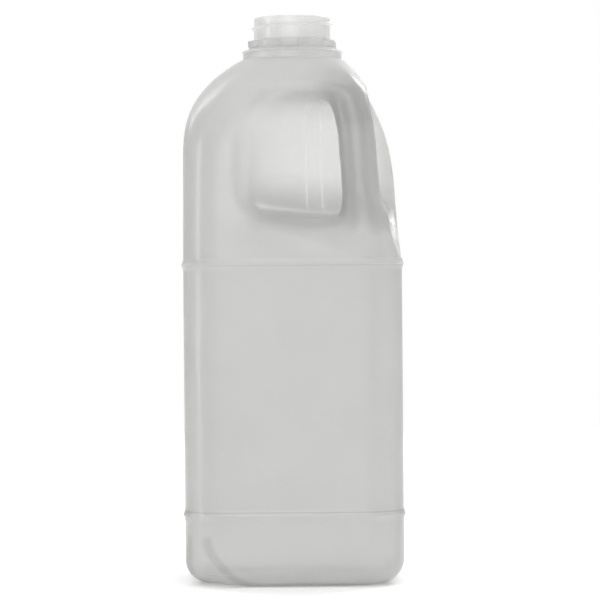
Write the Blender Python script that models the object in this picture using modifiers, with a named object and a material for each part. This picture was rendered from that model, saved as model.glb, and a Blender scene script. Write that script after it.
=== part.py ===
"""Two-litre milk bottle with a corner handle, in metres, +Z up.

The bottle is one blow-moulded piece of natural polyethylene: a square body with
two panel beads, shoulders that rise to a round threaded neck, and a hollow handle
across one corner. It stands on its base at the origin. The mould parts on the
upright plane through the handle and the opposite corner, so every form mirrors
across that plane. U runs outwards through the handle's corner (+X, -Y), and V
runs across the mould halves, so a place is given by U, V and Z.
"""
import math

import bmesh
import bpy
from mathutils import Matrix, Vector

MM = 0.001
ROOT2 = math.sqrt(2.0)
MERGE = 0.01 * MM

# Body
PANEL_HALF = 49.65 * MM
CORNER_RADIUS = 19 * MM
CORNER_STEPS = 6
LEAST_CORNER = 0.1
BASE_EDGE_RADIUS = 12 * MM
BASE_EDGE_STEPS = 5
WALL = 0.5 * MM
BEAD_HEIGHTS = (32.2 * MM, 145.2 * MM)
BEAD_HALF_WIDTH = 3.0 * MM
BEAD_PROUD = 0.85 * MM
BEAD_STEPS = 3
BEAD_SHARPNESS = 1.5
BODY_OVERLAP = 1.7 * MM

# Facets under the two corners that the handle doesn't cross
FACET_RADIUS = 22 * MM
FACET_ROUNDNESS = 0.92
FACET_STEPS = 6

# Base recess, which leaves a flat ring to stand on
PUSH_UP_DEPTH = 2.2 * MM
PUSH_UP_HALF = 22 * MM
PUSH_UP_EDGE = 6 * MM

# Neck and shoulders: the two sides beside the handle are slimmer than the others
NECK_SHIFT = 0.75 * MM
NECK_BASE_Z = 240.4 * MM
NECK_BASE_RADIUS = 22.8 * MM
FULL_SHOULDER = {"start": 195 * MM, "rise_power": 2.6, "spread_power": 1.15}
SLIM_SHOULDER = {"start": 175 * MM, "rise_power": 2.2, "spread_power": 1.25}
CORNER_OPENS_Z = 205 * MM
SHOULDER_FOOT_Z = 144 * MM
SHOULDER_STEPS = 40
SHOULDER_CROWDING = 1.5

# Grip recess: its outline on the parting plane, and how far it has spread at the faces
GRIP_WALL_U = 14.7 * MM
GRIP_WALL_BOW = 5 * MM
GRIP_FLOOR_Z = 167 * MM
GRIP_CEILING_Z = 221.5 * MM
GRIP_FLOOR_ARC = (6.5 * MM, 13 * MM)
GRIP_CEILING_ARC = (8 * MM, 13 * MM)
GRIP_SILL_U = 45 * MM
GRIP_SILL_ARC = 17 * MM
GRIP_SILL_TURN = (90.0, 10.0)
GRIP_FOOT_DROP = 24 * MM
GRIP_ARC_STEPS = 10
GRIP_ROOF_U = 38 * MM
GRIP_OUTER_U = 66 * MM
GRIP_ROOF_RISE = -1 * MM
GRIP_DROP_U = (22 * MM, 52 * MM)
GRIP_DROP = 17 * MM
GRIP_LIFT = 6 * MM
GRIP_REACH = 1.04
GRIP_SECTIONS = 24

# Handle: a tube whose centre line is given in mm as (U, Z) with a share of its radius
HANDLE_RADIUS = 8.8 * MM
HANDLE_STEPS = 6
HANDLE_LINE = ((48, 148, 1.4), (46.3, 164, 1.34), (44.5, 177, 1.01), (42.8, 194, 1.0),
               (40.3, 211, 1.0), (34.6, 223, 1.0), (22, 230, 1.0))

# Softening of the shoulder piece
VOXEL = 1.6 * MM
SMOOTH_FACTOR = 0.5
LIP_PASSES = 150
LIP_FADE_U = (-24 * MM, -6 * MM)
LIP_FADE_V = (6 * MM, 26 * MM)
LIP_FADE_Z = (160 * MM, 180 * MM)
LIP_FADE_TOP = 14 * MM
HANDLE_PASSES = 24
SOFTEN_FADE = 12 * MM
SHOULDER_TRIANGLES = 2500
CREASE_DEGREES = 35.0

# Neck finish
NECK_STEPS = 48
RIM_Z = 259.6 * MM
BORE_RADIUS = 16.1 * MM
FINISH_RADIUS = 17.6 * MM
RIM_ROUND = 0.5 * MM
THREAD_PROUD = 1.3 * MM
THREAD_MIDDLE_Z = 255.6 * MM
THREAD_PITCH = 4.6 * MM
THREAD_HALF_WIDTH = 0.9 * MM
THREAD_TURN = 1.15
THREAD_ROOT_DEPTH = 0.2 * MM
THREAD_CREST_SHARE = 0.35
THREAD_FADE_SHARE = 0.125
LUG_COUNT = 6
FIRST_LUG_ANGLE = -94.7
LUG_RING_RADIUS = 19.9 * MM
LUG_BORE_RADIUS = 18.4 * MM
LUG_PROUD = 0.9 * MM
LUG_WIDTH = 7.9 * MM
LUG_RING_Z = (245.4 * MM, 248.9 * MM)
LUG_GAP = 0.4 * MM
FLANGE_RADIUS = 23.5 * MM
FLANGE_Z = 243.6 * MM
FLANGE_THICKNESS = 1.0 * MM
NECK_ROOT = 1.5 * MM

HDPE_COLOUR = (0.72, 0.72, 0.70, 1.0)
HDPE_ROUGHNESS = 0.42


def place(u, v, z):
    """A point given along the handle's diagonal, across it, and up."""
    return Vector(((u + v) / ROOT2, (v - u) / ROOT2, z))


def clear_scene():
    for thing in list(bpy.data.objects):
        bpy.data.objects.remove(thing, do_unlink=True)


def add_object(name, mesh, collection):
    thing = bpy.data.objects.new(name, mesh)
    collection.objects.link(thing)
    return thing


def plastic():
    """Natural polyethylene, milky and softly glossy."""
    material = bpy.data.materials.new("natural_polyethylene")
    material.use_nodes = True
    shader = material.node_tree.nodes["Principled BSDF"]
    shader.inputs["Base Color"].default_value = HDPE_COLOUR
    shader.inputs["Roughness"].default_value = HDPE_ROUGHNESS
    shader.inputs["Metallic"].default_value = 0.0
    return material


def evaluate(thing):
    """Replaces an object's mesh by what its modifiers make of it."""
    graph = bpy.context.evaluated_depsgraph_get()
    mesh = bpy.data.meshes.new_from_object(thing.evaluated_get(graph))
    thing.modifiers.clear()
    thing.data = mesh


def combine(target, other, operation):
    """Joins another solid to a target or cuts it away, and removes the other."""
    modifier = target.modifiers.new(operation.lower(), "BOOLEAN")
    modifier.operation = operation
    modifier.solver = "EXACT"
    modifier.object = other
    evaluate(target)
    bpy.data.objects.remove(other, do_unlink=True)


def loft(name, rings, collection):
    """A closed solid through rings that all have the same number of points."""
    shape = bmesh.new()
    levels = [[shape.verts.new(point) for point in ring] for ring in rings]
    for lower, upper in zip(levels, levels[1:]):
        for i in range(len(lower)):
            j = (i + 1) % len(lower)
            shape.faces.new((lower[i], lower[j], upper[j], upper[i]))
    shape.faces.new(reversed(levels[0]))
    shape.faces.new(levels[-1])
    bmesh.ops.recalc_face_normals(shape, faces=shape.faces)
    mesh = bpy.data.meshes.new(name)
    shape.to_mesh(mesh)
    shape.free()
    return add_object(name, mesh, collection)


def turned(name, profile, collection):
    """A solid turned about the neck's axis from (radius, height) pairs, top to bottom."""
    mesh = bpy.data.meshes.new(name)
    edges = [(i, i + 1) for i in range(len(profile) - 1)]
    mesh.from_pydata([(radius, 0.0, z) for radius, z in profile], edges, [])
    thing = add_object(name, mesh, collection)
    screw = thing.modifiers.new("turn", "SCREW")
    screw.steps = NECK_STEPS
    screw.render_steps = NECK_STEPS
    screw.use_merge_vertices = True
    screw.merge_threshold = MERGE
    evaluate(thing)
    thing.data.transform(Matrix.Translation((NECK_SHIFT, -NECK_SHIFT, 0.0)))
    return thing


def rounded_square(left, right, front, back, radius, z):
    """A ring of points round a square with its own reach on each side."""
    corners = ((right - radius, back - radius, 0.0), (radius - left, back - radius, 90.0),
               (radius - left, radius - front, 180.0), (right - radius, radius - front, 270.0))
    ring = []
    for x, y, start in corners:
        for step in range(CORNER_STEPS + 1):
            angle = math.radians(start + 90.0 * step / CORNER_STEPS)
            ring.append(Vector((x + radius * math.cos(angle), y + radius * math.sin(angle), z)))
    return ring


def shoulder_reach(z, reach, start, rise_power, spread_power):
    """How far a side stands from the neck's axis, falling from reach to the neck's radius."""
    rise = min(max((z - start) / (NECK_BASE_Z - start), 0.0), 1.0)
    spread = (1.0 - rise ** rise_power) ** (1.0 / spread_power)
    return NECK_BASE_RADIUS + (reach - NECK_BASE_RADIUS) * spread


def shoulder_ring(z):
    full = shoulder_reach(z, PANEL_HALF + NECK_SHIFT, **FULL_SHOULDER)
    slim = shoulder_reach(z, PANEL_HALF - NECK_SHIFT, **SLIM_SHOULDER)
    opened = min(max((z - CORNER_OPENS_Z) / (NECK_BASE_Z - CORNER_OPENS_Z), 0.0), 1.0)
    share = CORNER_RADIUS / PANEL_HALF
    share += (1.0 - share) * opened ** 2
    radius = min(share * full, slim)
    ring = rounded_square(full, slim, slim, full, radius, z)
    return [point + Vector((NECK_SHIFT, -NECK_SHIFT, 0.0)) for point in ring]


def shoulder_solid(collection):
    """The body above the upper bead, up to the root of the neck."""
    span = NECK_BASE_Z - SHOULDER_FOOT_Z
    heights = [NECK_BASE_Z - span * (1.0 - i / SHOULDER_STEPS) ** SHOULDER_CROWDING
               for i in range(SHOULDER_STEPS + 1)]
    return loft("shoulder", [shoulder_ring(z) for z in heights], collection)


def arc(centre_u, centre_z, radius, start, end, steps):
    """Points on an arc of an outline in U and Z."""
    points = []
    for step in range(steps + 1):
        angle = math.radians(start + (end - start) * step / steps)
        points.append((centre_u + radius * math.cos(angle), centre_z + radius * math.sin(angle)))
    return points


def grip_outline(spread):
    """The recess in U and Z, from the parting plane (spread 0) to the faces (spread 1)."""
    floor_arc = GRIP_FLOOR_ARC[0] + (GRIP_FLOOR_ARC[1] - GRIP_FLOOR_ARC[0]) * spread
    ceiling_arc = GRIP_CEILING_ARC[0] + (GRIP_CEILING_ARC[1] - GRIP_CEILING_ARC[0]) * spread
    ceiling = GRIP_CEILING_Z + GRIP_LIFT * spread
    wall = GRIP_WALL_U + GRIP_WALL_BOW * spread ** 2
    outline = arc(wall + floor_arc, GRIP_FLOOR_Z + floor_arc, floor_arc, 180, 270,
                  GRIP_ARC_STEPS)
    outline.append((GRIP_ROOF_U, GRIP_FLOOR_Z))
    outline += arc(GRIP_SILL_U, GRIP_FLOOR_Z - GRIP_SILL_ARC, GRIP_SILL_ARC, *GRIP_SILL_TURN,
                   GRIP_ARC_STEPS)
    outline.append((GRIP_OUTER_U, GRIP_FLOOR_Z - GRIP_FOOT_DROP))
    outline = [(u, z - GRIP_DROP * spread * drop_share(u)) for u, z in outline]
    outline.append((GRIP_OUTER_U, ceiling + GRIP_ROOF_RISE))
    outline.append((GRIP_ROOF_U, ceiling))
    outline += arc(wall + ceiling_arc, ceiling - ceiling_arc, ceiling_arc, 90, 180,
                   GRIP_ARC_STEPS)
    return outline


def drop_share(u):
    """How much of its full fall towards the faces the recess floor has at a place."""
    start, end = GRIP_DROP_U
    return min(max((u - start) / (end - start), 0.0), 1.0)


def grip_cutter(collection):
    """The scoop behind the handle, whose sections change as it nears the two faces."""
    apex_u = PANEL_HALF * ROOT2
    rings = []
    for section in range(GRIP_SECTIONS + 1):
        share = GRIP_REACH * (2.0 * section / GRIP_SECTIONS - 1.0)
        rings.append([place(u, share * (apex_u - u), z) for u, z in grip_outline(share ** 2)])
    return loft("grip_recess", rings, collection)


def handle_tube(collection):
    curve = bpy.data.curves.new("handle", "CURVE")
    curve.dimensions = "3D"
    curve.bevel_depth = HANDLE_RADIUS
    curve.bevel_resolution = HANDLE_STEPS
    curve.use_fill_caps = True
    spline = curve.splines.new("BEZIER")
    spline.resolution_u = HANDLE_STEPS
    spline.bezier_points.add(len(HANDLE_LINE) - 1)
    for knot, (u, z, share) in zip(spline.bezier_points, HANDLE_LINE):
        knot.co = place(u * MM, 0.0, z * MM)
        knot.handle_left_type = "AUTO"
        knot.handle_right_type = "AUTO"
        knot.radius = share
    thing = add_object("handle_line", curve, collection)
    graph = bpy.context.evaluated_depsgraph_get()
    mesh = bpy.data.meshes.new_from_object(thing.evaluated_get(graph))
    bpy.data.objects.remove(thing, do_unlink=True)
    shape = bmesh.new()
    shape.from_mesh(mesh)
    bmesh.ops.remove_doubles(shape, verts=shape.verts, dist=MERGE)
    bmesh.ops.recalc_face_normals(shape, faces=shape.faces)
    shape.to_mesh(mesh)
    shape.free()
    return add_object("handle", mesh, collection)


def ramp(value, start, end):
    """Rises smoothly from 0 at start to 1 at end."""
    share = min(max((value - start) / (end - start), 0.0), 1.0)
    return share * share * (3.0 - 2.0 * share)


def near_lip(point):
    """How strongly a place is softened where the grip recess meets the two faces."""
    u = (point.x - point.y) / ROOT2
    v = (point.x + point.y) / ROOT2
    return (ramp(u, LIP_FADE_U[0], LIP_FADE_U[1]) * ramp(point.z, LIP_FADE_Z[0], LIP_FADE_Z[1])
            * ramp(abs(v), LIP_FADE_V[0], LIP_FADE_V[1])
            * ramp(NECK_BASE_Z - point.z, 0.0, LIP_FADE_TOP))


def near_handle(point):
    """How strongly a place is softened round the handle and the recess."""
    foot = SHOULDER_FOOT_Z + BEAD_HALF_WIDTH
    return (ramp(point.z, foot, foot + SOFTEN_FADE)
            * ramp(NECK_BASE_Z - point.z, 0.0, BEAD_HALF_WIDTH))


def soften(thing, passes, strength):
    """Evens the mesh out and smooths it as strongly as each place asks."""
    remesh = thing.modifiers.new("even_mesh", "REMESH")
    remesh.mode = "VOXEL"
    remesh.voxel_size = VOXEL
    evaluate(thing)
    group = thing.vertex_groups.new(name="soft")
    for vertex in thing.data.vertices:
        group.add([vertex.index], strength(vertex.co), "REPLACE")
    smooth = thing.modifiers.new("blend", "SMOOTH")
    smooth.factor = SMOOTH_FACTOR
    smooth.iterations = passes
    smooth.vertex_group = group.name
    evaluate(thing)


def reduce_mesh(thing, triangles):
    shrink = thing.modifiers.new("reduce", "DECIMATE")
    shrink.ratio = triangles / (2.0 * len(thing.data.polygons))
    shrink.use_collapse_triangulate = True
    evaluate(thing)


def shrunk_copy(thing, name, collection):
    """The inner surface of a solid's wall."""
    inner = add_object(name, thing.data.copy(), collection)
    displace = inner.modifiers.new("wall", "DISPLACE")
    displace.strength = -WALL
    displace.mid_level = 0.0
    evaluate(inner)
    return inner


def upper_body(collection):
    """The softened shoulder with its handle, and the hollow inside it."""
    solid = shoulder_solid(collection)
    combine(solid, grip_cutter(collection), "DIFFERENCE")
    soften(solid, LIP_PASSES, near_lip)
    combine(solid, handle_tube(collection), "UNION")
    soften(solid, HANDLE_PASSES, near_handle)
    reduce_mesh(solid, SHOULDER_TRIANGLES)
    return solid, shrunk_copy(solid, "shoulder_hollow", collection)


def body_ring(reach, z, inset):
    """A level ring of the lower body, with a corner that follows its reach."""
    half = reach - inset
    radius = max(CORNER_RADIUS * reach / PANEL_HALF - inset, LEAST_CORNER * half)
    return rounded_square(half, half, half, half, radius, z)


def lower_rings(inset):
    """Rings of the lower body: base recess, base edge, then the wall with its beads."""
    flat_half = PUSH_UP_HALF + PUSH_UP_EDGE
    rings = [body_ring(PUSH_UP_HALF, PUSH_UP_DEPTH + inset, 0.0),
             body_ring(flat_half, inset, 0.0)]
    for step in range(BASE_EDGE_STEPS + 1):
        angle = 0.5 * math.pi * step / BASE_EDGE_STEPS
        reach = PANEL_HALF - BASE_EDGE_RADIUS * (1.0 - math.sin(angle))
        rise = (BASE_EDGE_RADIUS - inset) * (1.0 - math.cos(angle)) + inset
        rings.append(body_ring(reach, rise, inset * math.sin(angle)))
    for middle in BEAD_HEIGHTS:
        top_bead = middle == BEAD_HEIGHTS[-1]
        for step in range(-BEAD_STEPS, BEAD_STEPS + 1):
            share = step / BEAD_STEPS
            proud = BEAD_PROUD * (1.0 - abs(share)) ** BEAD_SHARPNESS
            if top_bead and step == BEAD_STEPS:
                proud = -BODY_OVERLAP
            rings.append(body_ring(PANEL_HALF + proud, middle + share * BEAD_HALF_WIDTH, inset))
    return rings


def facet_cutter(side, inset, collection):
    """What the rounded facet under one of the two plain corners takes away."""
    corner = ROOT2 * (PANEL_HALF - CORNER_RADIUS) + CORNER_RADIUS - inset
    radius = FACET_RADIUS - inset
    outline = [(corner, inset + radius + CORNER_RADIUS)]
    for step in range(FACET_STEPS + 1):
        share = step / FACET_STEPS
        angle = 0.5 * math.pi * share
        depth = share + (1.0 - math.cos(angle) - share) * FACET_ROUNDNESS
        fall = share + (math.sin(angle) - share) * FACET_ROUNDNESS
        outline.append((corner - radius * depth, inset + radius * (1.0 - fall)))
    outline.append((corner - radius, inset - CORNER_RADIUS))
    outline.append((corner + CORNER_RADIUS, inset - CORNER_RADIUS))
    outline.append((corner + CORNER_RADIUS, inset + radius + CORNER_RADIUS))
    rings = [[place(reach, side * v, z) for v, z in outline]
             for reach in (-PANEL_HALF, PANEL_HALF)]
    return loft("facet", rings, collection)


def lower_body(inset, collection):
    solid = loft("lower_body", lower_rings(inset), collection)
    for side in (-1.0, 1.0):
        combine(solid, facet_cutter(side, inset, collection), "DIFFERENCE")
    return solid


def neck_solid(collection):
    """The neck's outer form, still without its bore, thread and lugs."""
    low, high = LUG_RING_Z
    profile = [(0.0, RIM_Z), (FINISH_RADIUS - RIM_ROUND, RIM_Z),
               (FINISH_RADIUS, RIM_Z - RIM_ROUND), (FINISH_RADIUS, high + RIM_ROUND),
               (LUG_RING_RADIUS - RIM_ROUND, high), (LUG_RING_RADIUS, high - RIM_ROUND),
               (LUG_RING_RADIUS, low),
               (FLANGE_RADIUS - RIM_ROUND, FLANGE_Z + FLANGE_THICKNESS / 2),
               (FLANGE_RADIUS, FLANGE_Z), (NECK_BASE_RADIUS, FLANGE_Z - FLANGE_THICKNESS / 2),
               (NECK_BASE_RADIUS, NECK_BASE_Z), (NECK_BASE_RADIUS, NECK_BASE_Z - NECK_ROOT),
               (0.0, NECK_BASE_Z - NECK_ROOT)]
    return turned("neck", profile, collection)


def bore_cutter(collection):
    """The way in, narrow at the rim and wide where the neck meets the shoulder."""
    inner = NECK_BASE_RADIUS - 2.0 * WALL
    profile = [(0.0, RIM_Z + CORNER_RADIUS), (BORE_RADIUS, RIM_Z + CORNER_RADIUS),
               (BORE_RADIUS, LUG_RING_Z[1] - WALL), (LUG_BORE_RADIUS, LUG_RING_Z[0]),
               (inner, FLANGE_Z - WALL), (inner, NECK_BASE_Z - NECK_ROOT - 2.0 * WALL),
               (0.0, NECK_BASE_Z - NECK_ROOT - 2.0 * WALL)]
    return turned("bore", profile, collection)


def thread_solid(collection):
    """A single right-handed thread that fades in and out of the neck wall."""
    rings = []
    steps = int(NECK_STEPS * THREAD_TURN)
    for step in range(steps + 1):
        share = step / steps
        angle = 2.0 * math.pi * THREAD_TURN * (share - 0.5)
        rise = THREAD_MIDDLE_Z + THREAD_PITCH * THREAD_TURN * (share - 0.5)
        fade = min(1.0, share / THREAD_FADE_SHARE, (1.0 - share) / THREAD_FADE_SHARE)
        crest = (FINISH_RADIUS - THREAD_ROOT_DEPTH
                 + (THREAD_PROUD + THREAD_ROOT_DEPTH) * fade)
        root = BORE_RADIUS + (FINISH_RADIUS - BORE_RADIUS) / 2.0
        outline = ((root, -1.0), (crest, -THREAD_CREST_SHARE),
                   (crest, THREAD_CREST_SHARE), (root, 1.0))
        ring = []
        for radius, height in outline:
            ring.append(Vector((NECK_SHIFT + radius * math.sin(angle),
                                -NECK_SHIFT - radius * math.cos(angle),
                                rise + height * THREAD_HALF_WIDTH)))
        rings.append(ring)
    return loft("thread", rings, collection)


def lug_solid(index, collection):
    """One ratchet lug, a small block on the ring under the thread."""
    low, high = LUG_RING_Z
    shape = bmesh.new()
    depth = 2.0 * LUG_PROUD
    size = Matrix.Diagonal((depth, LUG_WIDTH, high - low - LUG_GAP, 1.0))
    spot = Matrix.Translation((LUG_RING_RADIUS, 0.0, (low + high) / 2.0))
    turn = Matrix.Rotation(math.radians(FIRST_LUG_ANGLE + 360.0 * index / LUG_COUNT), 4, "Z")
    shift = Matrix.Translation((NECK_SHIFT, -NECK_SHIFT, 0.0))
    bmesh.ops.create_cube(shape, size=1.0, matrix=shift @ turn @ spot @ size)
    mesh = bpy.data.meshes.new("lug")
    shape.to_mesh(mesh)
    shape.free()
    return add_object("lug", mesh, collection)


def build_bottle():
    collection = bpy.data.collections.new("milk_bottle")
    bpy.context.scene.collection.children.link(collection)
    shoulder, hollow = upper_body(collection)
    bottle = lower_body(0.0, collection)
    combine(bottle, shoulder, "UNION")
    combine(bottle, neck_solid(collection), "UNION")
    combine(bottle, thread_solid(collection), "UNION")
    for index in range(LUG_COUNT):
        combine(bottle, lug_solid(index, collection), "UNION")
    combine(hollow, lower_body(WALL, collection), "UNION")
    combine(hollow, bore_cutter(collection), "UNION")
    combine(bottle, hollow, "DIFFERENCE")
    bottle.name = "bottle"
    bottle.data.name = "bottle"
    bottle.data.materials.clear()
    bottle.data.materials.append(plastic())
    bottle.data.shade_smooth()
    bottle.data.set_sharp_from_angle(angle=math.radians(CREASE_DEGREES))
    return bottle


def main():
    clear_scene()
    build_bottle()


if __name__ == "__main__":
    main()
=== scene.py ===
"""A two-litre milk bottle of natural polyethylene on a pale floor, in metres, +Z up.

U runs outwards through the handle's corner (+X, -Y) and V across the two mould
halves, so a place on the bottle is given by U, V and Z.
"""
import math

import bmesh
import bpy
from bpy.props import FloatProperty, FloatVectorProperty, PointerProperty
from mathutils import Matrix, Vector


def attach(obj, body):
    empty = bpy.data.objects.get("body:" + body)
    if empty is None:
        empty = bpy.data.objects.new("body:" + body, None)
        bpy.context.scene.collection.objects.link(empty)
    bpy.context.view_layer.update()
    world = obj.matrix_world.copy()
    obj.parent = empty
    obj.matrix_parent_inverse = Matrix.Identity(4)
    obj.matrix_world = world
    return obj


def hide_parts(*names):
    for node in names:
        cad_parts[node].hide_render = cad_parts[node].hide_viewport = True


bl_info = {
    "name": "Milk bottle",
    "version": (1, 0, 0),
    "blender": (4, 5, 0),
    "location": "3D View > Sidebar > Milk bottle",
    "description": "Builds a handled milk bottle of translucent plastic and its studio stage",
    "category": "Object",
}

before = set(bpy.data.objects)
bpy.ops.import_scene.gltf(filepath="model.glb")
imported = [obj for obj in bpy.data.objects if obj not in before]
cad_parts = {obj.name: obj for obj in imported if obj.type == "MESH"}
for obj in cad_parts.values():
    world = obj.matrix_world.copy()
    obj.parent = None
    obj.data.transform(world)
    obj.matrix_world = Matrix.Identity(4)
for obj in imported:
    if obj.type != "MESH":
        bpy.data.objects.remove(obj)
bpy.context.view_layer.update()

MM = 0.001
ROOT2 = math.sqrt(2.0)
MERGE = 0.01 * MM

# Body
CORNER_STEPS = 12
FLAT_STEPS = 6
BASE_EDGE_RADIUS = 12 * MM
BASE_EDGE_STEPS = 10
BEAD_HEIGHTS = (32.2 * MM, 145.2 * MM)
BEAD_HALF_WIDTH = 3.0 * MM
BEAD_SHARPNESS = 1.5
BEAD_STEPS = 6
BODY_OVERLAP = 1.7 * MM
LEAST_CORNER = 0.1
EASE = 0.8 * MM

# Facets under the two corners that the handle doesn't cross
FACET_RADIUS = 22 * MM
FACET_ROUNDNESS = 0.92
FACET_STEPS = 16

# Base recess, which leaves a flat ring to stand on
PUSH_UP_DEPTH = 2.2 * MM
PUSH_UP_HALF = 22 * MM
PUSH_UP_EDGE = 6 * MM

# Neck and shoulders: the two sides beside the handle are slimmer than the others
NECK_SHIFT = 0.75 * MM
NECK_BASE_Z = 240.4 * MM
NECK_BASE_RADIUS = 22.8 * MM
FULL_SHOULDER = {"start": 195 * MM, "rise_power": 2.6, "spread_power": 1.15}
SLIM_SHOULDER = {"start": 175 * MM, "rise_power": 2.2, "spread_power": 1.25}
CORNER_OPENS_Z = 205 * MM
SHOULDER_FOOT_Z = 144 * MM
SHOULDER_STEPS = 60
SHOULDER_CROWDING = 1.5

# Grip recess: its outline on the parting plane, and how far it has spread at the faces
GRIP_WALL_U = 14.7 * MM
GRIP_WALL_BOW = 5 * MM
GRIP_FLOOR_Z = 167 * MM
GRIP_CEILING_Z = 221.5 * MM
GRIP_FLOOR_ARC = (6.5 * MM, 13 * MM)
GRIP_CEILING_ARC = (8 * MM, 13 * MM)
GRIP_SILL_U = 45 * MM
GRIP_SILL_ARC = 17 * MM
GRIP_SILL_TURN = (90.0, 10.0)
GRIP_FOOT_DROP = 24 * MM
GRIP_ARC_STEPS = 16
GRIP_ROOF_U = 38 * MM
GRIP_OUTER_U = 66 * MM
GRIP_ROOF_RISE = -1 * MM
GRIP_DROP_U = (22 * MM, 52 * MM)
GRIP_DROP = 17 * MM
GRIP_LIFT = 6 * MM
GRIP_REACH = 1.04
GRIP_SECTIONS = 36

# Handle: a tube whose centre line is given in mm as (U, Z) with a share of its radius
HANDLE_RADIUS = 8.8 * MM
HANDLE_STEPS = 10
HANDLE_LINE = ((48, 148, 1.4), (46.3, 164, 1.34), (44.5, 177, 1.01), (42.8, 194, 1.0),
               (40.3, 211, 1.0), (34.6, 223, 1.0), (22, 230, 1.0))

# Softening of the shoulder piece
VOXEL = 1.2 * MM
SMOOTH_FACTOR = 0.5
LIP_PASSES = 266
LIP_FADE_U = (-24 * MM, -6 * MM)
LIP_FADE_V = (6 * MM, 26 * MM)
LIP_FADE_Z = (160 * MM, 180 * MM)
LIP_FADE_TOP = 14 * MM
HANDLE_PASSES = 43
SOFTEN_FADE = 12 * MM
CREASE_DEGREES = 35.0

# Neck finish
NECK_STEPS = 96
RIM_Z = 259.6 * MM
BORE_RADIUS = 16.1 * MM
FINISH_RADIUS = 17.6 * MM
RIM_ROUND = 0.5 * MM
THREAD_PROUD = 1.3 * MM
THREAD_MIDDLE_Z = 255.6 * MM
THREAD_PITCH = 4.6 * MM
THREAD_HALF_WIDTH = 0.9 * MM
THREAD_TURN = 1.15
THREAD_FADE_SHARE = 0.125
LUG_COUNT = 6
FIRST_LUG_ANGLE = -94.7
LUG_RING_RADIUS = 19.9 * MM
LUG_BORE_RADIUS = 18.4 * MM
LUG_PROUD = 0.9 * MM
LUG_WIDTH = 7.9 * MM
LUG_RING_Z = (245.4 * MM, 248.9 * MM)
LUG_GAP = 0.4 * MM
LUG_EDGE = 0.25 * MM
FLANGE_RADIUS = 23.5 * MM
FLANGE_Z = 243.6 * MM
FLANGE_THICKNESS = 1.0 * MM
NECK_ROOT = 1.5 * MM

# Mould marks, and painted shade lines. The painted shade lines along the beads are given as a
# height with a share of the darker tone
PARTING_HALF = 0.35 * MM
STRIP_HALF = 5.0 * MM
STRIP_EDGE = 0.6 * MM
BEAD_SHADE_LINES = ((33.8 * MM, 1.0), (144.5 * MM, 0.5))
BEAD_SHADE_FADE = (0.1 * MM, 0.5 * MM)
# Painted shade line along each facet's crease
CREASE_FADE = (0.3 * MM, 2.0 * MM)
CREASE_INSET = 0.5 * MM
CREASE_SIDE = (4.5 * MM, 1.5 * MM)
CREASE_TOP = (21 * MM, 25 * MM)
CREASE_SHADE_SHARE = 1.1

# Regions of the wall in mm: where each fades in along an axis, then where it fades out
REGIONS = {
    "handle": {"u": ((24, 34), None), "v": (None, (9, 15)), "z": ((158, 176), None)},
    "arm": {"u": ((24, 38), None), "v": (None, (9, 26)), "z": ((200, 212), (225, 231))},
    "sill": {"u": ((12, 24), None), "v": (None, (44, 54)), "z": ((154, 166), (172, 184))},
    "lug_ring": {"z": ((244, 245), (248.5, 249.5))},
    "flange": {"z": ((239, 240), (244, 245))},
    "finish": {"z": ((249, 250), None)},
    "recess": {"u": ((10, 14), (22, 30)), "v": (None, (20, 60)),
               "z": ((172, 190), (208, 222))},
    "recess_wall": {"u": ((10, 12), (18, 20)), "z": ((168, 174), (214, 222))},
    "foot": {"z": (None, (6, 34))},
}
# Painted shade over the handle, its arm, the recess sill and the lug ring, only partly from
# thicker plastic
DENSE_AND_SHADE_SHARES = {"handle": 0.25, "arm": 0.58, "sill": 0.4, "lug_ring": 0.2}
# Painted light on the flange, the foot and the neck finish
PAINTED_LIGHT_SHARES = {"flange": 0.1, "foot": 0.1, "finish": 0.1}
# The recess is lighter, partly from stretched thin plastic and partly from painted light
RECESS_THIN_AND_LIGHT = 0.8
# Painted highlights along the edges of the strip on the recess wall
STRIP_HIGHLIGHT = 0.9

# Texture of the surface: waves of the blown wall and a fine grain, with heights in mm
TEXTURE_DETAIL = 2.0
WAVE_SCALE = 38.0
WAVE_ROUGHNESS = 0.5
WAVE_SPAN = (0.3, 0.7)
WAVE_SHARE = 0.12
GRAIN_SCALE = 900.0
GRAIN_ROUGHNESS = 0.6
GRAIN_DULLING = 0.06
PARTING_HEIGHT = 0.05
STRIP_HEIGHT = 0.08
WAVE_HEIGHT = 0.5
GRAIN_HEIGHT = 0.015

# Light on and through the wall
# Extra clear share where the plastic is thin and where light is painted
THIN_AND_LIGHT_CLEAR = 0.35
CLEAR_TINT = (1.0, 1.0, 0.995, 1.0)
GRAZING_POWER = 3.0
FINISH_KEEPS = 0.8
SHEEN_FACING = 0.04
SHEEN_GRAZING = 0.4
SHEEN_POWER = 5.0
WHITE = (1.0, 1.0, 1.0, 1.0)

# Camera and lights
CAMERA_SPOT = (0.0, -1.40, 0.129)
CAMERA_ROLL = -0.5
CAMERA_SCALE = 2.156 / MM
CAMERA_SHIFT = 0.012
LIGHT_GOAL = (0.0, 0.0, 0.16)
FLOOR_HALF = 1.6
FLOOR_ROUGHNESS = 0.9
FLOOR_SPECULAR = 0.1
FLOOR_GLOW = 0.04
LIGHTS = (
    ("left_strip", (-1.2, -0.25, 0.25), (0.20, 1.0), 3.0),
    ("left_top_strip", (-0.85, 0.80, 1.0), (0.25, 0.9), 4.0),
    ("right_top_strip", (0.85, 0.80, 1.0), (0.20, 0.9), 4.0),
    ("back_right_strip", (0.60, 1.00, 0.80), (0.12, 0.5), 3.2),
    ("top_panel", (0.0, 0.1, 1.2), (0.9, 0.9), 1.0),
    ("front_panel", (-0.3, -2.2, 0.9), (1.6, 1.2), 10.0),
)
PICTURE_WIDTH = 600
SENSOR_WIDTH = 36.0

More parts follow.
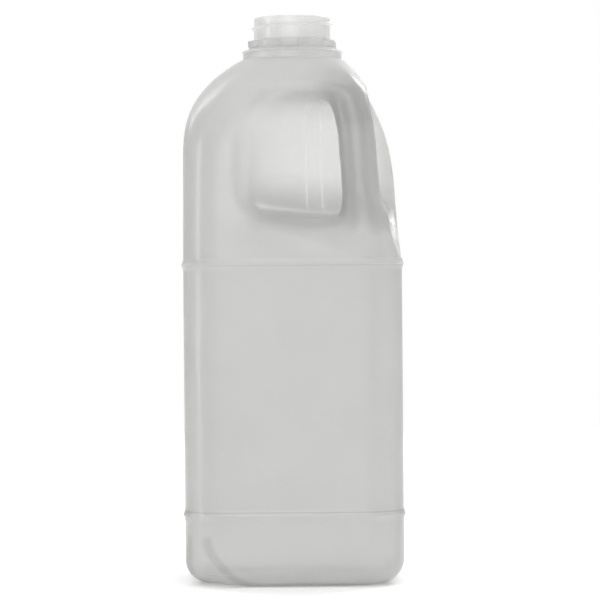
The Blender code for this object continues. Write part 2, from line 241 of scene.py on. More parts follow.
# Surroundings: their level, and what each part of them adds from the start to the end of a rise
SKY_LEVEL = 0.94
SKY_PARTS = {"behind": ((0.90, 0.985), 0.30), "sides": ((0.15, 0.6), -0.64),
             "above": ((0.3, 0.8), 0.5), "right": ((0.6, 0.95), 0.85)}


class BottleSizes(bpy.types.PropertyGroup):
    """Sizes of the bottle that a user would change."""
    panel_half: FloatProperty(
        name="Half width", description="From the body's middle to a flat side, between the beads",
        default=49.65 * MM, unit="LENGTH", precision=5)
    corner_radius: FloatProperty(
        name="Corner radius", description="Radius of the body's four upright corners",
        default=19 * MM, unit="LENGTH", precision=5)
    wall: FloatProperty(
        name="Wall", description="Thickness of the blown wall",
        default=0.5 * MM, unit="LENGTH", precision=5)
    bead_proud: FloatProperty(
        name="Bead height", description="How far the two beads stand out of the sides",
        default=0.85 * MM, unit="LENGTH", precision=5)


class BottleFinish(bpy.types.PropertyGroup):
    """Colours and gloss of the bottle and its stage."""
    plastic: FloatVectorProperty(
        name="Plastic", description="Colour of the natural plastic",
        default=(0.685, 0.685, 0.681), subtype="COLOR", size=3, min=0.0, max=1.0)
    # Also the tone of painted shade over the handle, arm, sill, lug ring, bead lines and facet
    # creases
    dense_and_shade: FloatVectorProperty(
        name="Dense plastic", description="Colour where the wall is thick",
        default=(0.55, 0.55, 0.545), subtype="COLOR", size=3, min=0.0, max=1.0)
    # Also the tone of painted light on the recess, the flange, the foot, the neck finish and the
    # strip's edges
    thin_and_light: FloatVectorProperty(
        name="Thin plastic", description="Colour where the wall is stretched thin",
        default=(0.98, 0.98, 0.975), subtype="COLOR", size=3, min=0.0, max=1.0)
    clear: FloatProperty(
        name="Clear share", description="Share of the light that passes straight through a skin",
        default=0.45, subtype="FACTOR", min=0.0, max=1.0)
    see_through: FloatProperty(
        name="Light let through", description="Share of the light that passes through the wall",
        default=0.65, subtype="FACTOR", min=0.0, max=1.0)
    roughness: FloatProperty(
        name="Roughness", description="Roughness of the moulded surface",
        default=0.28, subtype="FACTOR", min=0.0, max=1.0)
    floor: FloatVectorProperty(
        name="Floor", description="Colour of the floor",
        default=(0.92, 0.92, 0.92), subtype="COLOR", size=3, min=0.0, max=1.0)


def place(u, v, z):
    """A point given along the handle's diagonal, across it, and up."""
    return Vector(((u + v) / ROOT2, (v - u) / ROOT2, z))


def ramp(value, start, end):
    """Rises smoothly from 0 at start to 1 at end."""
    share = min(max((value - start) / (end - start), 0.0), 1.0)
    return share * share * (3.0 - 2.0 * share)


def add_piece(name, shape):
    """An object made of a bmesh, which is freed."""
    bmesh.ops.recalc_face_normals(shape, faces=shape.faces)
    if shape.calc_volume(signed=True) < 0.0:
        bmesh.ops.reverse_faces(shape, faces=shape.faces)
    mesh = bpy.data.meshes.new(name)
    shape.to_mesh(mesh)
    shape.free()
    thing = bpy.data.objects.new(name, mesh)
    bpy.context.scene.collection.objects.link(thing)
    return thing


def evaluate(thing):
    """Replaces an object's mesh by what its modifiers make of it."""
    graph = bpy.context.evaluated_depsgraph_get()
    mesh = bpy.data.meshes.new_from_object(thing.evaluated_get(graph))
    thing.modifiers.clear()
    thing.data = mesh


def combine(target, other, operation):
    """Joins another solid to a target or cuts it away, and removes the other."""
    modifier = target.modifiers.new(operation.lower(), "BOOLEAN")
    modifier.operation = operation
    modifier.solver = "EXACT"
    modifier.object = other
    evaluate(target)
    bpy.data.objects.remove(other, do_unlink=True)


def weld(target):
    """Closes the hairline gaps that combining leaves between corners in one place."""
    shape = bmesh.new()
    shape.from_mesh(target.data)
    bmesh.ops.remove_doubles(shape, verts=shape.verts, dist=MERGE)
    shape.to_mesh(target.data)
    shape.free()


def swept(name, rings):
    """A closed solid that a disc leaves behind as it is extruded through rings of points."""
    shape = bmesh.new()
    disc = bmesh.ops.create_circle(shape, cap_ends=True, segments=len(rings[0]), radius=1.0)
    corners = list(disc["verts"])
    for corner, point in zip(corners, rings[0]):
        corner.co = point
    cap = shape.faces[:][0]
    for ring in rings[1:]:
        order = {tuple(corner.co): i for i, corner in enumerate(corners)}
        region = [cap, *cap.edges, *cap.verts]
        made = bmesh.ops.extrude_face_region(shape, geom=region)["geom"]
        cap = next(item for item in made if isinstance(item, bmesh.types.BMFace))
        fresh = sorted(cap.verts, key=lambda corner: order[tuple(corner.co)])
        for corner, point in zip(fresh, ring):
            corner.co = point
        corners = fresh
    return add_piece(name, shape)


def turned(name, profile):
    """A solid spun about the neck's axis from (radius, height) pairs."""
    shape = bmesh.new()
    corners = [shape.verts.new((radius, 0.0, z)) for radius, z in profile]
    edges = [shape.edges.new(pair) for pair in zip(corners, corners[1:])]
    bmesh.ops.spin(shape, geom=corners + edges, axis=(0.0, 0.0, 1.0), angle=2.0 * math.pi,
                   steps=NECK_STEPS, use_merge=True)
    bmesh.ops.remove_doubles(shape, verts=shape.verts, dist=MERGE)
    bmesh.ops.translate(shape, verts=shape.verts, vec=(NECK_SHIFT, -NECK_SHIFT, 0.0))
    return add_piece(name, shape)


def rounded_square(left, right, front, back, radius, z):
    """A ring of points round a square with its own reach on each side."""
    corners = ((right - radius, back - radius, 0.0), (radius - left, back - radius, 90.0),
               (radius - left, radius - front, 180.0), (right - radius, radius - front, 270.0))
    ring = []
    for index, (x, y, start) in enumerate(corners):
        for step in range(CORNER_STEPS + 1):
            angle = math.radians(start + 90.0 * step / CORNER_STEPS)
            ring.append(Vector((x + radius * math.cos(angle), y + radius * math.sin(angle), z)))
        next_x, next_y, next_start = corners[(index + 1) % len(corners)]
        angle = math.radians(next_start)
        goal = Vector((next_x + radius * math.cos(angle), next_y + radius * math.sin(angle), z))
        last = ring[-1]
        ring += [last.lerp(goal, ramp(step, 0.0, FLAT_STEPS)) for step in range(1, FLAT_STEPS)]
    return ring


def shoulder_reach(z, reach, start, rise_power, spread_power):
    """How far a side stands from the neck's axis, falling from reach to the neck's radius."""
    rise = min(max((z - start) / (NECK_BASE_Z - start), 0.0), 1.0)
    spread = (1.0 - rise ** rise_power) ** (1.0 / spread_power)
    return NECK_BASE_RADIUS + (reach - NECK_BASE_RADIUS) * spread


def shoulder_ring(sizes, z):
    """A level ring of the shoulders, which turns from the body's square to the neck's round."""
    full = shoulder_reach(z, sizes.panel_half + NECK_SHIFT, **FULL_SHOULDER)
    slim = shoulder_reach(z, sizes.panel_half - NECK_SHIFT, **SLIM_SHOULDER)
    opened = min(max((z - CORNER_OPENS_Z) / (NECK_BASE_Z - CORNER_OPENS_Z), 0.0), 1.0)
    share = sizes.corner_radius / sizes.panel_half
    share += (1.0 - share) * opened ** 2
    ring = rounded_square(full, slim, slim, full, min(share * full, slim), z)
    return [point + Vector((NECK_SHIFT, -NECK_SHIFT, 0.0)) for point in ring]


def shoulder_solid(sizes):
    """The body above the upper bead, up to the root of the neck."""
    span = NECK_BASE_Z - SHOULDER_FOOT_Z
    heights = [NECK_BASE_Z - span * (1.0 - i / SHOULDER_STEPS) ** SHOULDER_CROWDING
               for i in range(SHOULDER_STEPS + 1)]
    return swept("shoulder", [shoulder_ring(sizes, z) for z in heights])


def arc(centre_u, centre_z, radius, start, end):
    """Points on an arc of an outline in U and Z."""
    points = []
    for step in range(GRIP_ARC_STEPS + 1):
        angle = math.radians(start + (end - start) * step / GRIP_ARC_STEPS)
        points.append((centre_u + radius * math.cos(angle), centre_z + radius * math.sin(angle)))
    return points


def drop_share(u):
    """How much of its full fall towards the faces the recess floor has at a place."""
    start, end = GRIP_DROP_U
    return min(max((u - start) / (end - start), 0.0), 1.0)


def grip_outline(spread):
    """The recess in U and Z, from the parting plane (spread 0) to the faces (spread 1)."""
    floor_arc = GRIP_FLOOR_ARC[0] + (GRIP_FLOOR_ARC[1] - GRIP_FLOOR_ARC[0]) * spread
    ceiling_arc = GRIP_CEILING_ARC[0] + (GRIP_CEILING_ARC[1] - GRIP_CEILING_ARC[0]) * spread
    ceiling = GRIP_CEILING_Z + GRIP_LIFT * spread
    wall = GRIP_WALL_U + GRIP_WALL_BOW * spread ** 2
    outline = arc(wall + floor_arc, GRIP_FLOOR_Z + floor_arc, floor_arc, 180, 270)
    outline.append((GRIP_ROOF_U, GRIP_FLOOR_Z))
    outline += arc(GRIP_SILL_U, GRIP_FLOOR_Z - GRIP_SILL_ARC, GRIP_SILL_ARC, *GRIP_SILL_TURN)
    outline.append((GRIP_OUTER_U, GRIP_FLOOR_Z - GRIP_FOOT_DROP))
    outline = [(u, z - GRIP_DROP * spread * drop_share(u)) for u, z in outline]
    outline.append((GRIP_OUTER_U, ceiling + GRIP_ROOF_RISE))
    outline.append((GRIP_ROOF_U, ceiling))
    outline += arc(wall + ceiling_arc, ceiling - ceiling_arc, ceiling_arc, 90, 180)
    return outline


def grip_cutter(sizes):
    """The scoop behind the handle, whose sections change as it nears the two faces."""
    apex_u = sizes.panel_half * ROOT2
    rings = []
    for section in range(GRIP_SECTIONS + 1):
        share = GRIP_REACH * (2.0 * section / GRIP_SECTIONS - 1.0)
        rings.append([place(u, share * (apex_u - u), z) for u, z in grip_outline(share ** 2)])
    return swept("grip_recess", rings)


def handle_tube():
    """The handle as a closed tube along its centre line."""
    curve = bpy.data.curves.new("handle", "CURVE")
    curve.dimensions = "3D"
    curve.bevel_depth = HANDLE_RADIUS
    curve.bevel_resolution = HANDLE_STEPS
    curve.use_fill_caps = True
    spline = curve.splines.new("BEZIER")
    spline.resolution_u = HANDLE_STEPS
    spline.bezier_points.add(len(HANDLE_LINE) - 1)
    for knot, (u, z, share) in zip(spline.bezier_points, HANDLE_LINE):
        knot.co = place(u * MM, 0.0, z * MM)
        knot.handle_left_type = "AUTO"
        knot.handle_right_type = "AUTO"
        knot.radius = share
    line = bpy.data.objects.new("handle_line", curve)
    bpy.context.scene.collection.objects.link(line)
    graph = bpy.context.evaluated_depsgraph_get()
    mesh = bpy.data.meshes.new_from_object(line.evaluated_get(graph))
    bpy.data.objects.remove(line, do_unlink=True)
    shape = bmesh.new()
    shape.from_mesh(mesh)
    bmesh.ops.remove_doubles(shape, verts=shape.verts, dist=MERGE)
    return add_piece("handle", shape)


def near_lip(point):
    """How strongly a place is softened where the grip recess meets the two faces."""
    u = (point.x - point.y) / ROOT2
    v = (point.x + point.y) / ROOT2
    return (ramp(u, *LIP_FADE_U) * ramp(point.z, *LIP_FADE_Z) * ramp(abs(v), *LIP_FADE_V)
            * ramp(NECK_BASE_Z - point.z, 0.0, LIP_FADE_TOP))


def near_handle(point):
    """How strongly a place is softened round the handle and the recess."""
    foot = SHOULDER_FOOT_Z + BEAD_HALF_WIDTH
    return (ramp(point.z, foot, foot + SOFTEN_FADE)
            * ramp(NECK_BASE_Z - point.z, 0.0, BEAD_HALF_WIDTH))


def soften(thing, passes, strength):
    """Evens the mesh out and smooths it as strongly as each place asks."""
    remesh = thing.modifiers.new("even_mesh", "REMESH")
    remesh.mode = "VOXEL"
    remesh.voxel_size = VOXEL
    evaluate(thing)
    group = thing.vertex_groups.new(name="soft")
    for vertex in thing.data.vertices:
        group.add([vertex.index], strength(vertex.co), "REPLACE")
    smooth = thing.modifiers.new("blend", "SMOOTH")
    smooth.factor = SMOOTH_FACTOR
    smooth.iterations = passes
    smooth.vertex_group = group.name
    evaluate(thing)
    thing.vertex_groups.clear()


def shrunk_copy(thing, name, wall):
    """The inner surface of a solid's wall."""
    inner = bpy.data.objects.new(name, thing.data.copy())
    bpy.context.scene.collection.objects.link(inner)
    displace = inner.modifiers.new("wall", "DISPLACE")
    displace.strength = -wall
    displace.mid_level = 0.0
    evaluate(inner)
    return inner


def upper_body(sizes):
    """The softened shoulder with its handle, and the hollow inside it."""
    solid = shoulder_solid(sizes)
    combine(solid, grip_cutter(sizes), "DIFFERENCE")
    soften(solid, LIP_PASSES, near_lip)
    combine(solid, handle_tube(), "UNION")
    soften(solid, HANDLE_PASSES, near_handle)
    return solid, shrunk_copy(solid, "shoulder_hollow", sizes.wall)


def body_ring(sizes, reach, z, inset):
    """A level ring of the lower body, with a corner that follows its reach."""
    half = reach - inset
    radius = max(sizes.corner_radius * reach / sizes.panel_half - inset, LEAST_CORNER * half)
    return rounded_square(half, half, half, half, radius, z)


def lower_rings(sizes, inset):
    """Rings of the lower body: base recess, base edge, then the wall with its beads."""
    flat_half = PUSH_UP_HALF + PUSH_UP_EDGE
    rings = [body_ring(sizes, PUSH_UP_HALF, PUSH_UP_DEPTH + inset, 0.0),
             body_ring(sizes, flat_half, inset, 0.0)]
    for step in range(BASE_EDGE_STEPS + 1):
        angle = 0.5 * math.pi * step / BASE_EDGE_STEPS
        reach = sizes.panel_half - BASE_EDGE_RADIUS * (1.0 - math.sin(angle))
        rise = (BASE_EDGE_RADIUS - inset) * (1.0 - math.cos(angle)) + inset
        rings.append(body_ring(sizes, reach, rise, inset * math.sin(angle)))
    for middle in BEAD_HEIGHTS:
        top_bead = middle == BEAD_HEIGHTS[-1]
        rings.append(body_ring(sizes, sizes.panel_half, middle - BEAD_HALF_WIDTH - EASE, inset))
        for step in range(-BEAD_STEPS, BEAD_STEPS + 1):
            share = step / BEAD_STEPS
            proud = sizes.bead_proud * (1.0 - abs(share)) ** BEAD_SHARPNESS
            if top_bead and step == BEAD_STEPS:
                proud = -BODY_OVERLAP
            reach = sizes.panel_half + proud
            rings.append(body_ring(sizes, reach, middle + share * BEAD_HALF_WIDTH, inset))
        if not top_bead:
            rings.append(body_ring(sizes, sizes.panel_half, middle + BEAD_HALF_WIDTH + EASE,
                                   inset))
    return rings


def corner_reach(sizes):
    """How far the body's rounded corners stand from its middle."""
    return ROOT2 * (sizes.panel_half - sizes.corner_radius) + sizes.corner_radius


def facet_cutter(sizes, side, inset):
    """What the rounded facet under one of the two plain corners takes away."""
    corner_radius = sizes.corner_radius
    corner = corner_reach(sizes) - inset
    radius = FACET_RADIUS - inset
    outline = [(corner, inset + radius + corner_radius)]
    for step in range(FACET_STEPS + 1):
        share = step / FACET_STEPS
        angle = 0.5 * math.pi * share
        depth = share + (1.0 - math.cos(angle) - share) * FACET_ROUNDNESS
        fall = share + (math.sin(angle) - share) * FACET_ROUNDNESS
        outline.append((corner - radius * depth, inset + radius * (1.0 - fall)))
    outline.append((corner - radius, inset - corner_radius))
    outline.append((corner + corner_radius, inset - corner_radius))
    outline.append((corner + corner_radius, inset + radius + corner_radius))
    rings = [[place(reach, side * v, z) for v, z in outline]
             for reach in (-sizes.panel_half, sizes.panel_half)]
    return swept("facet", rings)


def lower_body(sizes, inset):
    """The body up to its upper bead, or at an inset the hollow inside it."""
    solid = swept("lower_body", lower_rings(sizes, inset))
    for side in (-1.0, 1.0):
        combine(solid, facet_cutter(sizes, side, inset), "DIFFERENCE")
    return solid


def neck_solid():
    """The neck's outer form, still without its bore, thread and lugs."""
    low, high = LUG_RING_Z
    profile = [(0.0, RIM_Z), (FINISH_RADIUS - RIM_ROUND, RIM_Z),
               (FINISH_RADIUS, RIM_Z - RIM_ROUND), (FINISH_RADIUS, high + RIM_ROUND),
               (LUG_RING_RADIUS - RIM_ROUND, high), (LUG_RING_RADIUS, high - RIM_ROUND),
               (LUG_RING_RADIUS, low),
               (FLANGE_RADIUS - RIM_ROUND, FLANGE_Z + FLANGE_THICKNESS / 2),
               (FLANGE_RADIUS, FLANGE_Z), (NECK_BASE_RADIUS, FLANGE_Z - FLANGE_THICKNESS / 2),
               (NECK_BASE_RADIUS, NECK_BASE_Z), (NECK_BASE_RADIUS, NECK_BASE_Z - NECK_ROOT),
               (0.0, NECK_BASE_Z - NECK_ROOT)]
    return turned("neck", profile)


def bore_cutter(sizes):
    """The way in, narrow at the rim and wide where the neck meets the shoulder."""
    wall = sizes.wall
    top = RIM_Z + sizes.corner_radius
    foot = NECK_BASE_Z - NECK_ROOT - 2.0 * wall
    inner = NECK_BASE_RADIUS - 2.0 * wall
    profile = [(0.0, top), (BORE_RADIUS, top), (BORE_RADIUS, LUG_RING_Z[1] - wall),
               (LUG_BORE_RADIUS, LUG_RING_Z[0]), (inner, FLANGE_Z - wall), (inner, foot),
               (0.0, foot)]
    return turned("bore", profile)


def thread_solid():
    """A single right-handed thread that fades in and out of the neck wall."""
    rings = []
    steps = int(NECK_STEPS * THREAD_TURN)
    root = (BORE_RADIUS + FINISH_RADIUS) / 2.0
    for step in range(steps + 1):
        share = step / steps
        angle = 2.0 * math.pi * THREAD_TURN * (share - 0.5)
        rise = THREAD_MIDDLE_Z + THREAD_PITCH * THREAD_TURN * (share - 0.5)
        fade = min(1.0, share / THREAD_FADE_SHARE, (1.0 - share) / THREAD_FADE_SHARE)
        crest = FINISH_RADIUS + THREAD_PROUD * fade - RIM_ROUND * (1.0 - fade)
        outline = ((root, -1.0), (crest - RIM_ROUND / 2.0, -0.5), (crest, 0.0),
                   (crest - RIM_ROUND / 2.0, 0.5), (root, 1.0))
        rings.append([Vector((NECK_SHIFT + radius * math.sin(angle),
                              -NECK_SHIFT - radius * math.cos(angle),
                              rise + height * THREAD_HALF_WIDTH)) for radius, height in outline])
    return swept("thread", rings)


def lug_solid(index):
    """One ratchet lug, a small block with softened edges on the ring under the thread."""
    low, high = LUG_RING_Z
    shape = bmesh.new()
    size = Matrix.Diagonal((2.0 * LUG_PROUD, LUG_WIDTH, high - low - LUG_GAP, 1.0))
    spot = Matrix.Translation((LUG_RING_RADIUS, 0.0, (low + high) / 2.0))
    turn = Matrix.Rotation(math.radians(FIRST_LUG_ANGLE + 360.0 * index / LUG_COUNT), 4, "Z")
    shift = Matrix.Translation((NECK_SHIFT, -NECK_SHIFT, 0.0))
    bmesh.ops.create_cube(shape, size=1.0, matrix=shift @ turn @ spot @ size)
    bmesh.ops.bevel(shape, geom=shape.edges[:], offset=LUG_EDGE, segments=2, profile=0.5,
                    affect="EDGES", material=-1)
    return add_piece("lug", shape)


class Term:
    """A socket of a node tree that takes part in Python expressions."""

    def __init__(self, tree, socket=None):
        self.tree = tree
        self.socket = socket

    def node(self, kind, settings=None, sockets=None, output=0):
        """Adds a node, sets it up, feeds its sockets, and returns one of its outputs."""
        made = self.tree.nodes.new(kind)
        for key, value in (settings or {}).items():
            setattr(made, key, value)
        for key, value in (sockets or {}).items():
            if isinstance(value, Term):
                self.tree.links.new(value.socket, made.inputs[key])
            else:
                made.inputs[key].default_value = value
        return Term(self.tree, made.outputs[output]) if made.outputs else None

    def math(self, operation, first, second=0.0):
        """Adds a Math node and returns its value."""
        return self.node("ShaderNodeMath", {"operation": operation}, {0: first, 1: second})

    def mix_colours(self, share, first, second):
        """The first colour where the share is 0, and the second where it is 1."""
        sockets = {0: share, 6: first, 7: second}
        return self.node("ShaderNodeMix", {"data_type": "RGBA"}, sockets, 2)

    def mix_surfaces(self, share, first, second):
        """The first surface where the share is 0, and the second where it is 1."""
        return self.node("ShaderNodeMixShader", None, {0: share, 1: first, 2: second})

    def __add__(self, other):
        return self.math("ADD", self, other)

    def __radd__(self, other):
        return self.math("ADD", other, self)

    def __sub__(self, other):
        return self.math("SUBTRACT", self, other)

    def __rsub__(self, other):
        return self.math("SUBTRACT", other, self)

    def __mul__(self, other):
        return self.math("MULTIPLY", self, other)

    def __rmul__(self, other):
        return self.math("MULTIPLY", other, self)

    def __abs__(self):
        return self.math("ABSOLUTE", self)

    def root(self):
        return self.math("SQRT", self)

    def power(self, exponent):
        return self.math("POWER", self, exponent)

    def larger(self, other):
        return self.math("MAXIMUM", self, other)

    def rise(self, start, end):
        """Goes smoothly from 0 where the value is start to 1 where it is end."""
        sockets = {"Value": self, "From Min": start, "From Max": end}
        return self.node("ShaderNodeMapRange", {"interpolation_type": "SMOOTHSTEP"}, sockets)

    def split(self):
        """The three parts of a vector."""
        return [self.node("ShaderNodeSeparateXYZ", None, {0: self}, part) for part in range(3)]


def new_material(name):
    """A material with an empty tree, and a term that adds nodes to it."""
    material = bpy.data.materials.new(name)
    material.use_nodes = True
    material.node_tree.nodes.clear()
    return material, Term(material.node_tree)


def region(axes, name):
    """1 inside a named region of the wall, fading to 0 past its edges."""
    mask = 1.0
    for axis, (fade_in, fade_out) in REGIONS[name].items():
        if fade_in:
            mask = mask * axes[axis].rise(*(edge * MM for edge in fade_in))
        if fade_out:
            mask = mask * (1.0 - axes[axis].rise(*(edge * MM for edge in fade_out)))
    return mask


def strongest(axes, shares):
    """The largest of several regions, each times its share."""
    first, *others = (region(axes, name) * share for name, share in shares.items())
    for mask in others:
        first = first.larger(mask)
    return first


def facet_crease_shade(sizes, x, y, z, v):
    """Painted shade along each facet's rim, where it meets the two sides."""
    across = (v - (corner_reach(sizes) - FACET_RADIUS)).larger(0.0)
    down = (FACET_RADIUS - z).larger(0.0)
    off_rim = abs((across * across + down * down).root() - (FACET_RADIUS - CREASE_INSET))
    under = (BASE_EDGE_RADIUS - z).larger(0.0)
    tucked = BASE_EDGE_RADIUS - (BASE_EDGE_RADIUS ** 2 - under * under).root()
    reach = abs(x).larger(abs(y)) + tucked
    on_side = reach.rise(*(sizes.panel_half - inset for inset in CREASE_SIDE))
    return (1.0 - off_rim.rise(*CREASE_FADE)) * on_side * (1.0 - z.rise(*CREASE_TOP))


def noise(tree, spot, scale, roughness):
    """An even noise on the piece's own coordinates."""
    sockets = {"Vector": spot, "Scale": scale, "Detail": TEXTURE_DETAIL,
               "Roughness": roughness}
    return tree.node("ShaderNodeTexNoise", {"noise_dimensions": "3D"}, sockets)


def polyethylene(finish, sizes):
    """Milky plastic that lets light through, with painted shade round the handle and the recess
    sill, partly thicker plastic, and painted light and highlights elsewhere.
    """
    material, tree = new_material("natural_polyethylene")
    spot = tree.node("ShaderNodeTexCoord", output=3)
    x, y, z = spot.split()
    u = (x - y) * (1.0 / ROOT2)
    v = abs((x + y) * (1.0 / ROOT2))
    axes = {"u": u, "v": v, "z": z}
    waves = noise(tree, spot, WAVE_SCALE, WAVE_ROUGHNESS)
    grain = noise(tree, spot, GRAIN_SCALE, GRAIN_ROUGHNESS)
    recess_wall = region(axes, "recess_wall")
    strip = (1.0 - v.rise(STRIP_HALF - STRIP_EDGE, STRIP_HALF)) * recess_wall
    # Painted highlight lines at the strip's edges
    strip_highlights = (1.0 - abs(v - STRIP_HALF).rise(0.0, STRIP_EDGE)) * recess_wall

    # Painted shade, only partly from thicker plastic
    dense_and_shade = strongest(axes, DENSE_AND_SHADE_SHARES)
    # Painted light, and thin plastic in the recess
    thin_and_light = region(axes, "recess") * RECESS_THIN_AND_LIGHT + strip_highlights * STRIP_HIGHLIGHT
    thin_and_light = thin_and_light.larger(strongest(axes, PAINTED_LIGHT_SHARES))
    # Darker tone: painted shade, random mottling of the wall, and painted shade along the facet
    # creases and beads
    shade_and_mottle = (dense_and_shade + waves.rise(*WAVE_SPAN) * WAVE_SHARE
            + facet_crease_shade(sizes, x, y, z, v) * CREASE_SHADE_SHARE)
    # Painted shade lines along the beads
    for height, share in BEAD_SHADE_LINES:
        shade_and_mottle = shade_and_mottle + (1.0 - abs(z - height).rise(*BEAD_SHADE_FADE)) * share
    plain, denser_and_shade, thinner_and_light = (
        (*tone, 1.0) for tone in (finish.plastic, finish.dense_and_shade, finish.thin_and_light))
    colour = tree.mix_colours(thin_and_light, tree.mix_colours(shade_and_mottle, plain, denser_and_shade), thinner_and_light)

    parting = 1.0 - v.rise(0.0, PARTING_HALF)
    relief = (parting * PARTING_HEIGHT + strip * STRIP_HEIGHT + waves * WAVE_HEIGHT
              + grain * GRAIN_HEIGHT)
    normal = tree.node("ShaderNodeBump", None,
                       {"Strength": 1.0, "Distance": MM, "Height": relief})
    body = tree.node("ShaderNodeBsdfPrincipled", None,
                     {"Base Color": colour, "Specular IOR Level": 0.0, "Normal": normal,
                      "Roughness": finish.roughness + grain * GRAIN_DULLING})
    glow, dense_and_shade_glow, thin_and_light_glow = (
        tree.node("ShaderNodeBsdfTranslucent", None, {"Color": tone, "Normal": normal})
        for tone in (plain, denser_and_shade, thinner_and_light))
    glow = tree.mix_surfaces(thin_and_light, tree.mix_surfaces(shade_and_mottle, glow, dense_and_shade_glow), thin_and_light_glow)
    milky = tree.mix_surfaces(finish.see_through, body, glow)

    grazing = tree.node("ShaderNodeLayerWeight", None, {"Blend": 0.5, "Normal": normal}, 1)
    lost = grazing.power(GRAZING_POWER) * (1.0 - region(axes, "finish") * FINISH_KEEPS)
    passed = (finish.clear * (1.0 - dense_and_shade) + thin_and_light * THIN_AND_LIGHT_CLEAR) * (1.0 - lost)
    clear = tree.node("ShaderNodeBsdfTransparent", None, {"Color": CLEAR_TINT})
    shine = tree.node("ShaderNodeBsdfAnisotropic", None,
                      {"Color": WHITE, "Roughness": finish.roughness, "Normal": normal})
    sheen = SHEEN_FACING + SHEEN_GRAZING * grazing.power(SHEEN_POWER)
    surface = tree.mix_surfaces(sheen, tree.mix_surfaces(passed, milky, clear), shine)
    tree.node("ShaderNodeOutputMaterial", None, {0: surface})
    return material


def floor_paint(finish):
    """A matt surface of one colour that also gives off a little light."""
    material, tree = new_material("pale_floor")
    paint = tree.node("ShaderNodeBsdfPrincipled", None,
                      {"Base Color": (*finish.floor, 1.0), "Roughness": FLOOR_ROUGHNESS,
                       "Specular IOR Level": FLOOR_SPECULAR,
                       "Emission Color": WHITE, "Emission Strength": FLOOR_GLOW})
    tree.node("ShaderNodeOutputMaterial", None, {0: paint})
    return material


class MILKBOTTLE_OT_bottle(bpy.types.Operator):
    """Builds the bottle, one blown piece with its handle, neck, thread and lugs"""
    bl_idname = "milkbottle.bottle"
    bl_label = "Bottle"

    def execute(self, context):
        sizes = context.scene.bottle_sizes
        shoulder, hollow = upper_body(sizes)
        bottle = lower_body(sizes, 0.0)
        combine(bottle, shoulder, "UNION")
        combine(bottle, neck_solid(), "UNION")
        combine(bottle, thread_solid(), "UNION")
        for index in range(LUG_COUNT):
            combine(bottle, lug_solid(index), "UNION")
        combine(hollow, lower_body(sizes, sizes.wall), "UNION")
        combine(hollow, bore_cutter(sizes), "UNION")
        combine(bottle, hollow, "DIFFERENCE")
        weld(bottle)
        bottle.name = "bottle_shell"
        bottle.data.name = "bottle_shell"
        bottle.data.materials.clear()
        bottle.data.materials.append(polyethylene(context.scene.bottle_finish, sizes))
        bottle.data.shade_smooth()
        bottle.data.set_sharp_from_angle(angle=math.radians(CREASE_DEGREES))
        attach(bottle, "root")
        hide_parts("bottle")
        return {"FINISHED"}


def soft_light(name, spot, size, power):
    """A panel of light that shines at the bottle."""
    light = bpy.data.lights.new(name, "AREA")
    light.shape = "RECTANGLE"
    light.size, light.size_y = size
    light.energy = power
    panel = bpy.data.objects.new(name, light)
    turn = (Vector(LIGHT_GOAL) - Vector(spot)).to_track_quat("-Z", "Y")
    panel.matrix_world = Matrix.Translation(spot) @ turn.to_matrix().to_4x4()
    panel.visible_camera = False
    bpy.context.scene.collection.objects.link(panel)


def white_surroundings(scene):
    """Light from all round, brighter behind, above and at the right, on a white background."""
    world = bpy.data.worlds.new("white_surroundings")
    world.use_nodes = True
    world.node_tree.nodes.clear()
    tree = Term(world.node_tree)
    x, y, z = tree.node("ShaderNodeTexCoord", output=0).split()
    towards = {"behind": y, "sides": abs(x), "above": z, "right": x}
    level = SKY_LEVEL
    for part, (span, amount) in SKY_PARTS.items():
        level = level + towards[part].rise(*span) * amount
    seen = tree.node("ShaderNodeLightPath", output=0)
    level = level * (1.0 - seen) + seen
    background = tree.node("ShaderNodeBackground", None,
                           {"Color": WHITE, "Strength": level})
    tree.node("ShaderNodeOutputWorld", None, {0: background})
    scene.world = world


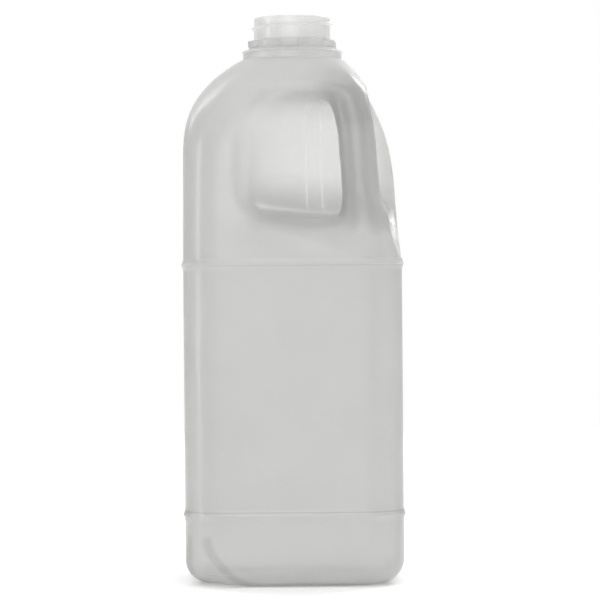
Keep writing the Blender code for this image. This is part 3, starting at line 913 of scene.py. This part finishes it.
class MILKBOTTLE_OT_stage(bpy.types.Operator):
    """Sets up the floor, the lights, the white surroundings and the camera"""
    bl_idname = "milkbottle.stage"
    bl_label = "Stage"

    def execute(self, context):
        scene = context.scene
        shape = bmesh.new()
        bmesh.ops.create_grid(shape, x_segments=1, y_segments=1, size=FLOOR_HALF)
        floor = add_piece("floor", shape)
        floor.data.materials.append(floor_paint(scene.bottle_finish))
        for light in LIGHTS:
            soft_light(*light)
        white_surroundings(scene)
        scene.view_settings.view_transform = "Standard"
        camera = bpy.data.cameras.new("camera")
        camera.sensor_width = SENSOR_WIDTH
        camera.lens = SENSOR_WIDTH * -CAMERA_SPOT[1] * CAMERA_SCALE / PICTURE_WIDTH
        camera.shift_x = CAMERA_SHIFT
        viewer = bpy.data.objects.new("camera", camera)
        viewer.matrix_world = (Matrix.Translation(CAMERA_SPOT)
                               @ Matrix.Rotation(math.radians(90.0), 4, "X")
                               @ Matrix.Rotation(math.radians(CAMERA_ROLL), 4, "Z"))
        scene.collection.objects.link(viewer)
        scene.camera = viewer
        return {"FINISHED"}


class MILKBOTTLE_PT_panel(bpy.types.Panel):
    """Lists the bottle's sizes, its finish and the operators"""
    bl_label = "Milk bottle"
    bl_idname = "MILKBOTTLE_PT_panel"
    bl_space_type = "VIEW_3D"
    bl_region_type = "UI"
    bl_category = "Milk bottle"

    def draw(self, context):
        for group in (context.scene.bottle_sizes, context.scene.bottle_finish):
            column = self.layout.column(align=True)
            for key in group.__annotations__:
                column.prop(group, key)
        for operator in OPERATORS:
            self.layout.operator(operator.bl_idname)


OPERATORS = (MILKBOTTLE_OT_bottle, MILKBOTTLE_OT_stage)
CLASSES = (BottleSizes, BottleFinish) + OPERATORS + (MILKBOTTLE_PT_panel,)


def register():
    for each in CLASSES:
        bpy.utils.register_class(each)
    bpy.types.Scene.bottle_sizes = PointerProperty(type=BottleSizes)
    bpy.types.Scene.bottle_finish = PointerProperty(type=BottleFinish)


def unregister():
    del bpy.types.Scene.bottle_finish
    del bpy.types.Scene.bottle_sizes
    for each in reversed(CLASSES):
        bpy.utils.unregister_class(each)


def main():
    register()
    bpy.ops.milkbottle.bottle()
    bpy.ops.milkbottle.stage()


if __name__ == "__main__":
    main()
